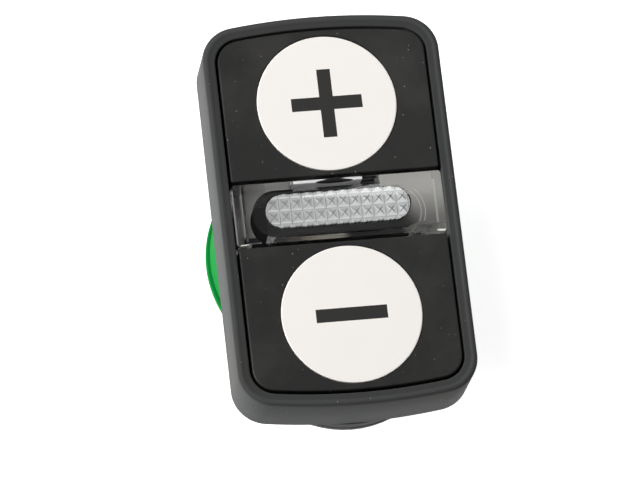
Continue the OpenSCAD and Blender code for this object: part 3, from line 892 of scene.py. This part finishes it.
discForm = {
    "edge": 0.09 * mm,
    "middle": 0.0001 * mm,       # radius of the profile's two ends, which are welded
    "steps": 160,
    "markLength": 8.95 * mm,
    "markWidth": 1.72 * mm,
    "markDepth": 0.6 * mm,
}


def strokeOutline(plus):
    long = discForm["markLength"] / 2
    thin = discForm["markWidth"] / 2
    if not plus:
        return [(-long, -thin), (long, -thin), (long, thin), (-long, thin)]
    arm = [(long, -thin), (long, thin), (thin, thin)]
    points = []
    for cosine, sine in ((1, 0), (0, 1), (-1, 0), (0, -1)):
        points += [(x * cosine - y * sine, x * sine + y * cosine) for x, y in arm]
    return points


def strokeMesh(name, plus, centreY, low, high):
    outline = [(x, y + centreY) for x, y in strokeOutline(plus)]
    return loftMesh(name, [lifted(outline, low), lifted(outline, high)])


def makeDisc(name, markName, side, body, discNode, markNode):
    low = faceZ - pushForm["pocketDepth"]
    edge = discForm["edge"]
    middle = discForm["middle"]
    markLow = faceZ - discForm["markDepth"]
    profile = [
        (middle, low), (discRadius, low), (discRadius, faceZ - edge),
        (discRadius - edge * 0.3, faceZ - edge * 0.3), (discRadius - edge, faceZ),
        (discRadius - 2 * edge, faceZ), (middle, faceZ),
    ]
    disc = turnedMesh(name, profile, side * discY, discForm["steps"])
    editMesh(disc.data, lambda form: bmesh.ops.remove_doubles(form, verts=form.verts, dist=0.001 * mm))
    cutAway(disc, [strokeMesh("recess", side > 0, side * discY, markLow, faceZ + mm)])
    finishPiece(disc, body, "disc", discNode, sharp=26)
    mark = strokeMesh(markName, side > 0, side * discY, markLow, faceZ)
    finishPiece(mark, body, "mark", markNode, sharp=26)


makeDisc("plusDisc", "plusStrokes", 1, "upper_push", "upper_legend_disc", "plus_mark")
makeDisc("minusDisc", "minusStrokes", -1, "lower_push", "lower_legend_disc", "minus_mark")
print("discs and marks done")


# Lens: clear block with soft edges, end steps and a pocket for the sleeve and the prisms

lensForm = {
    "edge": [(0, 0.16), (0.02, 0.08), (0.07, 0.02), (0.15, 0)],
    "cornerRadius": 0.4 * mm,
    "cornerSteps": 8,
    "footGap": 0.03 * mm,
    "stepWidth": 1.1 * mm,
    "stepDrop": 0.15 * mm,
    "stepSlope": 0.08 * mm,
    "footWidth": 2 * mm,
    "bodyBottom": 6 * mm,
    "cover": 0.8 * mm,
    "recessLength": 10.6 * mm,
    "recessDepth": 0.25 * mm,
    "recessCover": 1.2 * mm,
    "pocketLength": 21.6 * mm,
    "pocketWidth": 6.05 * mm,
    "pocketEdge": 0.1 * mm,
}


def lensOutline(inset):
    radius = lensForm["cornerRadius"] - inset
    x = lensHigh.x - inset - radius
    y = lensHigh.y - inset - radius
    points = []
    for sx, sy, start in ((1, 1, 0), (-1, 1, 90), (-1, -1, 180), (1, -1, 270)):
        points += arcPoints((sx * x, sy * y), radius, start, start + 90, lensForm["cornerSteps"])
    return points


def pocketRing(shrink, z):
    length, width = lensForm["pocketLength"] - shrink, lensForm["pocketWidth"] - shrink
    return [(y, -x, z) for x, y in stadiumPoints(length, width, stadiumSteps["pocketEnd"])]


def makeLens():
    form = lensForm
    far = 40 * mm
    rings = [lifted(lensOutline(0), lensLow.z + form["footGap"])]
    rings += [lifted(lensOutline(inset * mm), faceZ - drop * mm) for inset, drop in form["edge"]]
    lens = loftMesh("clearLens", rings)
    footX = lensHigh.x - form["footWidth"]
    tools = [boxMesh("under", (-footX, -far, 0), (footX, far, form["bodyBottom"]))]
    soft = form["pocketEdge"]
    wallTop = faceZ - form["cover"] - soft
    pocket = [pocketRing(0, 0), pocketRing(0, wallTop)]
    for angle in (30, 60, 90):
        turn = math.radians(angle)
        pocket.append(pocketRing(2 * soft * (1 - math.cos(turn)), wallTop + soft * math.sin(turn)))
    tools.append(loftMesh("pocket", pocket))
    inner = lensHigh.x - form["stepWidth"]
    drop = form["stepDrop"]
    lean = form["stepSlope"] * (1 + mm / drop)
    section = [(inner - lean, faceZ + mm), (inner, faceZ - drop), (far, faceZ - drop), (far, faceZ + mm)]
    half = form["recessLength"] / 2
    for side in (-1, 1):
        tools.append(loftMesh("step", [[(side * x, y, z) for x, z in section] for y in (-far, far)]))
        near, away = sorted((side * (lensHigh.y - form["recessDepth"]), side * far))
        tools.append(boxMesh("recess", (-half, near, 0), (half, away, faceZ - form["recessCover"])))
    cutAway(lens, tools)
    finishPiece(lens, "head", "lens", "lens", sharp=30)


makeLens()
print("lens done")


# Fixing nut: tapered ring with a groove, a rear rim, spanner notches and a thread inside

nutForm = {
    # (radius, height over the nut's rear face) from the bore's front edge outwards and back
    "profile": [
        (11.5, 6.0), (13.1, 6.0), (13.35, 5.95), (13.55, 5.82), (13.68, 5.62), (13.78, 5.3), (14.36, 1.72),
        (14.33, 1.64), (14.2, 1.6), (14.08, 1.58), (14.02, 1.5), (14.0, 1.38), (14.02, 1.22), (14.1, 1.13),
        (14.25, 1.1), (14.55, 1.1), (14.68, 1.07), (14.77, 0.98), (14.8, 0.86), (14.8, 0.34), (14.77, 0.2),
        (14.68, 0.09), (14.5, 0.03), (14.3, 0.0), (11.5, 0.0),
    ],
    "steps": 144,
    "crest": 11.07 * mm,
    "root": 11.5 * mm,
    "pitch": 1.5 * mm,
    "threadEnd": 0.35 * mm,      # from the faces to where the thread starts
    "notches": 6,
    "notchStart": 10 * mm,
    "notchEnd": 13.6 * mm,
    "notchWidth": 2.4 * mm,
    "notchDepth": 1.6 * mm,
}

barrelForm = {
    "crest": 11 * mm,
    "root": 10.4 * mm,
    "bore": 9.4 * mm,
    "seat": 10 * mm,
    "seatTop": 3 * mm,           # over the barrel's end
    "seatEdge": 0.15 * mm,
    "endChamfer": 0.1 * mm,
    "pitch": 1.5 * mm,
    "threadEnd": 0.2 * mm,       # over the barrel's end
    "threadTop": -1.4 * mm,
    "collar": (0.1 * mm, 0.6 * mm),      # over the thread, where the collar starts and is full
    "lap": 0.2 * mm,             # how far barrel and key reach into the base plate
    "notchWidth": 3.2 * mm,
    "notchDepth": 2.2 * mm,
    "steps": 96,
}


threadForm = {
    "ringsPerTurn": 10,
    "fade": 0.5,                 # turns over which it grows from its root
}


# Height of a trapezoid thread, from 0 at its root to 1 at its crest
def threadShape(turn):
    return min(max((0.5 - abs(turn % 1.0 - 0.5)) * 4 - 0.5, 0), 1)


# Rings of a threaded cylinder between two heights; the thread fades into its root at both ends
def threadRings(low, high, form):
    root, pitch, steps = form["root"], form["pitch"], form["steps"]
    reach = form["crest"] - root
    count = int(round((high - low) / pitch * threadForm["ringsPerTurn"]))
    fadeLength = threadForm["fade"] * pitch
    rings = []
    for i in range(count + 1):
        z = low + (high - low) * i / count
        fade = min((z - low) / fadeLength, (high - z) / fadeLength, 1)
        ring = []
        for k in range(steps):
            height = threadShape(z / pitch - k / steps)
            if reach < 0:                # the nut's thread fills the gaps of the barrel's
                height = 1 - height
            radius = root + reach * height * fade
            angle = 2 * math.pi * k / steps
            ring.append((radius * math.cos(angle), radius * math.sin(angle), z))
        rings.append(ring)
    return rings


def makeNut():
    form = nutForm
    low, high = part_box("fixing_nut")
    rings = [
        lifted(circlePoints(radius * mm, form["steps"]), low.z + rise * mm)
        for radius, rise in form["profile"]
    ]
    rings += threadRings(low.z + form["threadEnd"], high.z - form["threadEnd"], form)
    nut = loftMesh("greenNut", rings, joinEnds=True)
    half = form["notchWidth"] / 2
    tools = []
    for i in range(form["notches"]):
        outer = (form["notchEnd"], half, low.z + form["notchDepth"])
        tool = boxMesh("notch", (form["notchStart"], -half, low.z - mm), outer)
        tool.data.transform(Matrix.Rotation(2 * math.pi * i / form["notches"], 4, "Z"))
        tools.append(tool)
    cutAway(nut, tools)
    finishPiece(nut, "nut", "nut", "fixing_nut", sharp=34)


makeNut()
print("nut done")


# Body: round-ended base plate with its rib and posts, and the threaded barrel

bodyForm = {
    "edge": 0.3 * mm,
    "ribOut": 2 * mm,            # how far the rib lies inside the plate's outline
    "ribWidth": 1 * mm,
    "ribEdge": 0.12 * mm,
    "lap": 0.1 * mm,             # how far rib and posts reach into the plate
    "postX": 5.2 * mm,
    "postRadius": 0.9 * mm,
    "postTop": 4 * mm,
    "stemY": 7 * mm,
    "stemHole": 2.06 * mm,
    "springY": 16.8 * mm,
    "springHole": 3.25 * mm,
    "springFloor": 1.4 * mm,
    "guideHole": 2.2 * mm,
    "keyWidth": 3 * mm,
    "keyIn": 10 * mm,
    "keyOut": 12.1 * mm,
    "keyEnd": -0.9 * mm,
}


def makePlate(high, bottom, top):
    form = bodyForm
    plate = plateMesh("baseBody", high.x, high.y, bottom, top, form["edge"])
    over = high.z + mm
    holes = [postMesh("hole", form["guideHole"], (0, 0), 0, over)]
    for side in (-1, 1):
        stem, spring = (0, side * form["stemY"]), (0, side * form["springY"])
        holes.append(postMesh("hole", form["stemHole"], stem, 0, over))
        holes.append(postMesh("hole", form["springHole"], spring, form["springFloor"], over))
    cutAway(plate, holes)
    return plate


def makeRib(high, foot):
    out = bodyForm["ribOut"]
    inner = out + bodyForm["ribWidth"]
    edge = bodyForm["ribEdge"]
    profile = [
        (out, foot), (out, high.z - edge), (out + edge, high.z),
        (inner - edge, high.z), (inner, high.z - edge), (inner, foot),
    ]
    return loftMesh("rib", stadiumRings(high.x, high.y, profile), joinEnds=True)


def makeBarrel(end, top):
    form = barrelForm
    edge = form["seatEdge"]
    steps = form["steps"]
    collarStart, collarFull = [form["threadTop"] + rise for rise in form["collar"]]
    lower = [
        (form["bore"], top), (form["bore"], end + form["seatTop"]), (form["seat"], end + form["seatTop"]),
        (form["seat"], end + edge), (form["seat"] + edge, end), (form["root"] - form["endChamfer"], end),
    ]
    upper = [(form["root"], collarStart), (form["crest"], collarFull), (form["crest"], top)]
    rings = [lifted(circlePoints(radius, steps), z) for radius, z in lower]
    rings += threadRings(end + form["threadEnd"], form["threadTop"], form)
    rings += [lifted(circlePoints(radius, steps), z) for radius, z in upper]
    tube = loftMesh("barrelTube", rings, joinEnds=True)
    far = 30 * mm
    half = form["notchWidth"] / 2
    cutAway(tube, [boxMesh("notch", (-far, -half, end - mm), (far, half, end + form["notchDepth"]))])
    return tube


def joinPieces(first, *others):
    def gather(form):
        for piece in others:
            form.from_mesh(piece.data)

    editMesh(first.data, gather)
    for piece in others:
        bpy.data.objects.remove(piece)
    return first


def makeBody():
    form = bodyForm
    low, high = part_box("body")
    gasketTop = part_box("panel_gasket")[1].z
    foot = bezelLow.z - form["lap"]
    barrelTop = gasketTop + barrelForm["lap"]
    half = form["keyWidth"] / 2
    pieces = [
        makePlate(high, gasketTop, bezelLow.z),
        makeRib(high, foot),
        makeBarrel(low.z, barrelTop),
        boxMesh("key", (-half, form["keyIn"], form["keyEnd"]), (half, form["keyOut"], barrelTop)),
    ]
    for side in (-1, 1):
        pieces.append(postMesh("post", form["postRadius"], (side * form["postX"], 0), foot, form["postTop"]))
    finishPiece(joinPieces(*pieces), "head", "body", "body", sharp=34)


makeBody()
print("body done")


# Gasket: soft flat ring with round edges

gasketForm = {
    "edge": 0.22 * mm,
    "hole": 11.3 * mm,
    "holeSteps": 128,
    "slotHalf": 1.7 * mm,        # for the barrel's key
    "slotEnds": (9.4 * mm, 12.3 * mm),
}


def makeGasket():
    form = gasketForm
    low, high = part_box("panel_gasket")
    gasket = plateMesh("panelSeal", high.x, high.y, low.z, high.z, form["edge"])
    bottom, top = low.z - mm, high.z + mm
    half = form["slotHalf"]
    near, away = form["slotEnds"]
    cutAway(gasket, [
        postMesh("hole", form["hole"], (0, 0), bottom, top, form["holeSteps"]),
        boxMesh("slot", (-half, near, bottom), (half, away, top)),
    ])
    finishPiece(gasket, "head", "rubber", "panel_gasket", sharp=40)
    gasket.data.materials[0] = gasketRubber


makeGasket()
print("gasket done")


# Springs and membranes

springForm = {
    "radius": 2.7 * mm,
    "wire": 0.25 * mm,           # its radius
    "turns": 5,
    "closed": 1.06,              # pitch of the end turns in wire diameters
    "fixedEnd": 1.4 * mm,
    "stepsPerTurn": 28,
    "wireSteps": 10,
    "endShare": 0.8,             # of the wire's radius
}
membraneForm = {
    # (radius, height over its foot) round the rubber's section
    "profile": [
        (2.06, 0), (3.6, 0), (3.6, 0.52), (3.52, 0.6), (3.06, 0.6), (3.0, 0.66), (2.93, 1.62), (2.86, 1.8),
        (2.72, 2.0), (2.5, 2.7), (2.48, 3.0), (2.52, 3.24), (2.62, 3.42), (2.66, 3.6), (2.66, 4.18),
        (2.58, 4.3), (2.06, 4.3), (2.06, 3.2), (2.12, 3.0), (2.42, 1.72), (2.56, 1.5), (2.6, 0.4),
        (2.06, 0.4),
    ],
    "steps": 64,
    "fixedEnd": 2.8 * mm,
}


# Gives a piece its own copy of its mesh
def followPush(piece):
    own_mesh(piece)


def springHeight(turn, length):
    turns = springForm["turns"]
    closed = springForm["closed"] * 2 * springForm["wire"]
    if turn < 1:
        return turn * closed
    if turn > turns - 1:
        return length - (turns - turn) * closed
    return closed + (turn - 1) * (length - 2 * closed) / (turns - 2)


def makeSpring(name, node):
    form = springForm
    low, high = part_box(node)
    centreY = (low.y + high.y) / 2
    length = high.z - low.z - 2 * form["wire"]
    last = form["turns"] * form["stepsPerTurn"]
    rings = []
    for i in range(last + 1):
        turn = i / form["stepsPerTurn"]
        angle = 2 * math.pi * turn
        z = low.z + form["wire"] + springHeight(turn, length)
        wire = form["wire"] * (form["endShare"] if i in (0, last) else 1)
        ring = []
        for k in range(form["wireSteps"]):
            tilt = 2 * math.pi * k / form["wireSteps"]
            radius = form["radius"] + wire * math.cos(tilt)
            ring.append((
                radius * math.cos(angle), centreY + radius * math.sin(angle), z + wire * math.sin(tilt)))
        rings.append(ring)
    spring = loftMesh(name, rings)
    finishPiece(spring, "head", "spring", node, sharp=60)
    followPush(spring)


def makeMembrane(name, node):
    form = membraneForm
    low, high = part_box(node)
    profile = [(radius * mm, low.z + rise * mm) for radius, rise in form["profile"]]
    membrane = turnedMesh(name, profile, (low.y + high.y) / 2, form["steps"])
    finishPiece(membrane, "head", "rubber", node, sharp=50)
    followPush(membrane)


for side in ("upper", "lower"):
    makeSpring(side + "Spring", side + "_return_spring")
    makeMembrane(side + "Membrane", side + "_membrane")
print("springs and membranes done")


# Moulded and stamped inner pieces: the solids' own shape with softened edges

innerPieces = {
    # Node, then the piece's name, its body, its finish and the width of its soft edges
    "upper_pusher": ("upperPusher", "upper_push", "pusher", 0.12 * mm),
    "lower_pusher": ("lowerPusher", "lower_push", "pusher", 0.12 * mm),
    "seal_retainer": ("retainerPlate", "head", "retainer", 0.06 * mm),
    "guide_plate": ("rearGuide", "head", "pusher", 0.12 * mm),
    "lens_seal": ("lensSleeve", "head", "rubber", 0.08 * mm),
}


# Welds the corners and joins flat triangles into larger faces
def mergeFaces(form):
    bmesh.ops.remove_doubles(form, verts=form.verts, dist=0.002 * mm)
    bmesh.ops.dissolve_limit(form, angle_limit=math.radians(2), verts=form.verts, edges=form.edges)


def softCopy(node, name, body, slotName, width):
    mesh = frame["nodes"][node].data.copy()
    piece = placeObject(name, mesh)
    editMesh(mesh, mergeFaces)
    softenEdges(piece, width)
    finishPiece(piece, body, slotName, node, sharp=34)


for node, values in innerPieces.items():
    softCopy(node, *values)
print("inner pieces done")


# Finishes for the solids; those that no piece replaces keep their own shape

def dressNodes():
    for row in frame["record"]["subparts"]:
        piece = frame["nodes"][row["node"]]
        piece.data.materials.clear()
        piece.data.materials.append(finishes[row["material_slot"]])
        for face in piece.data.polygons:
            face.material_index = 0


dressNodes()
print("nodes dressed")


# Floor and light

studio = {
    "floorSize": 3.0,
    "floorColour": (0.93, 0.93, 0.93),
    "floorGlow": 0.69,           # as on a lit table
    "zenith": 0.06,              # brightness of the sky overhead
    "horizon": 0.9,              # and all round, as from white walls
    "fade": (0.25, 0.8),         # upward share where the walls start to darken and end
    "sides": (1.3, 0.85),        # share of the brightness towards -X and +X
    "ends": (0.12, 1.0),         # and at two places along Y
    "endPlaces": (-1.0, 0.4),
    # leftFill alone isn't shown in glossy faces
    "lights": {
        "overhead": {"place": (-0.45, 0.05, 0.75), "size": 0.5, "power": 4.8},
        "upperRight": {"place": (0.112, 0.142, 0.3), "size": 0.11, "power": 0.17},
        "leftFill": {"place": (-0.7, 0.1, 0.15), "size": 0.26, "power": 6.5, "mirrored": False},
    },
}


def makeFloor():
    half = studio["floorSize"] / 2
    bottom = cadBounds[0][2]
    corners = lifted([(-half, -half), (half, -half), (half, half), (-half, half)], bottom)
    floor = meshFrom("floor", corners, [(0, 1, 2, 3)])
    material, tree, shader = newMaterial("paleFloor")
    setNode(shader, {
        "Base Color": studio["floorColour"],
        "Roughness": 0.9,
        "Emission Color": (1, 1, 1),
        "Emission Strength": studio["floorGlow"],
    })
    floor.data.materials.append(material)


def makeLight(name, place, size, power, mirrored=True):
    data = bpy.data.lights.new(name, "AREA")
    data.shape = "SQUARE"
    data.size = size
    data.energy = power
    light = placeObject(name, data)
    light.location = place
    light.visible_glossy = mirrored
    light.visible_transmission = False   # no lamp is seen through the lens
    light.rotation_euler = Vector(place).to_track_quat("Z", "Y").to_euler()


# White walls all round that darken towards the ceiling
def makeSky():
    world = bpy.data.worlds.new("studioWorld")
    world.use_nodes = True
    tree = world.node_tree
    towards = splitVector(tree, "Generated")
    level = product(
        ramp(towards["Z"], *studio["fade"], studio["horizon"], studio["zenith"]),
        ramp(towards["X"], -1.0, 1.0, *studio["sides"]),
        ramp(towards["Y"], *studio["endPlaces"], *studio["ends"]))
    setNode(tree.nodes["Background"], {"Strength": level, "Color": (1, 1, 1)})
    bpy.context.scene.world = world


def makeStudio():
    makeFloor()
    makeSky()
    for name, values in studio["lights"].items():
        makeLight(name, **values)
    bpy.context.scene.view_settings.view_transform = "Standard"
    bpy.context.scene.view_settings.look = "None"


makeStudio()
print("studio ready")
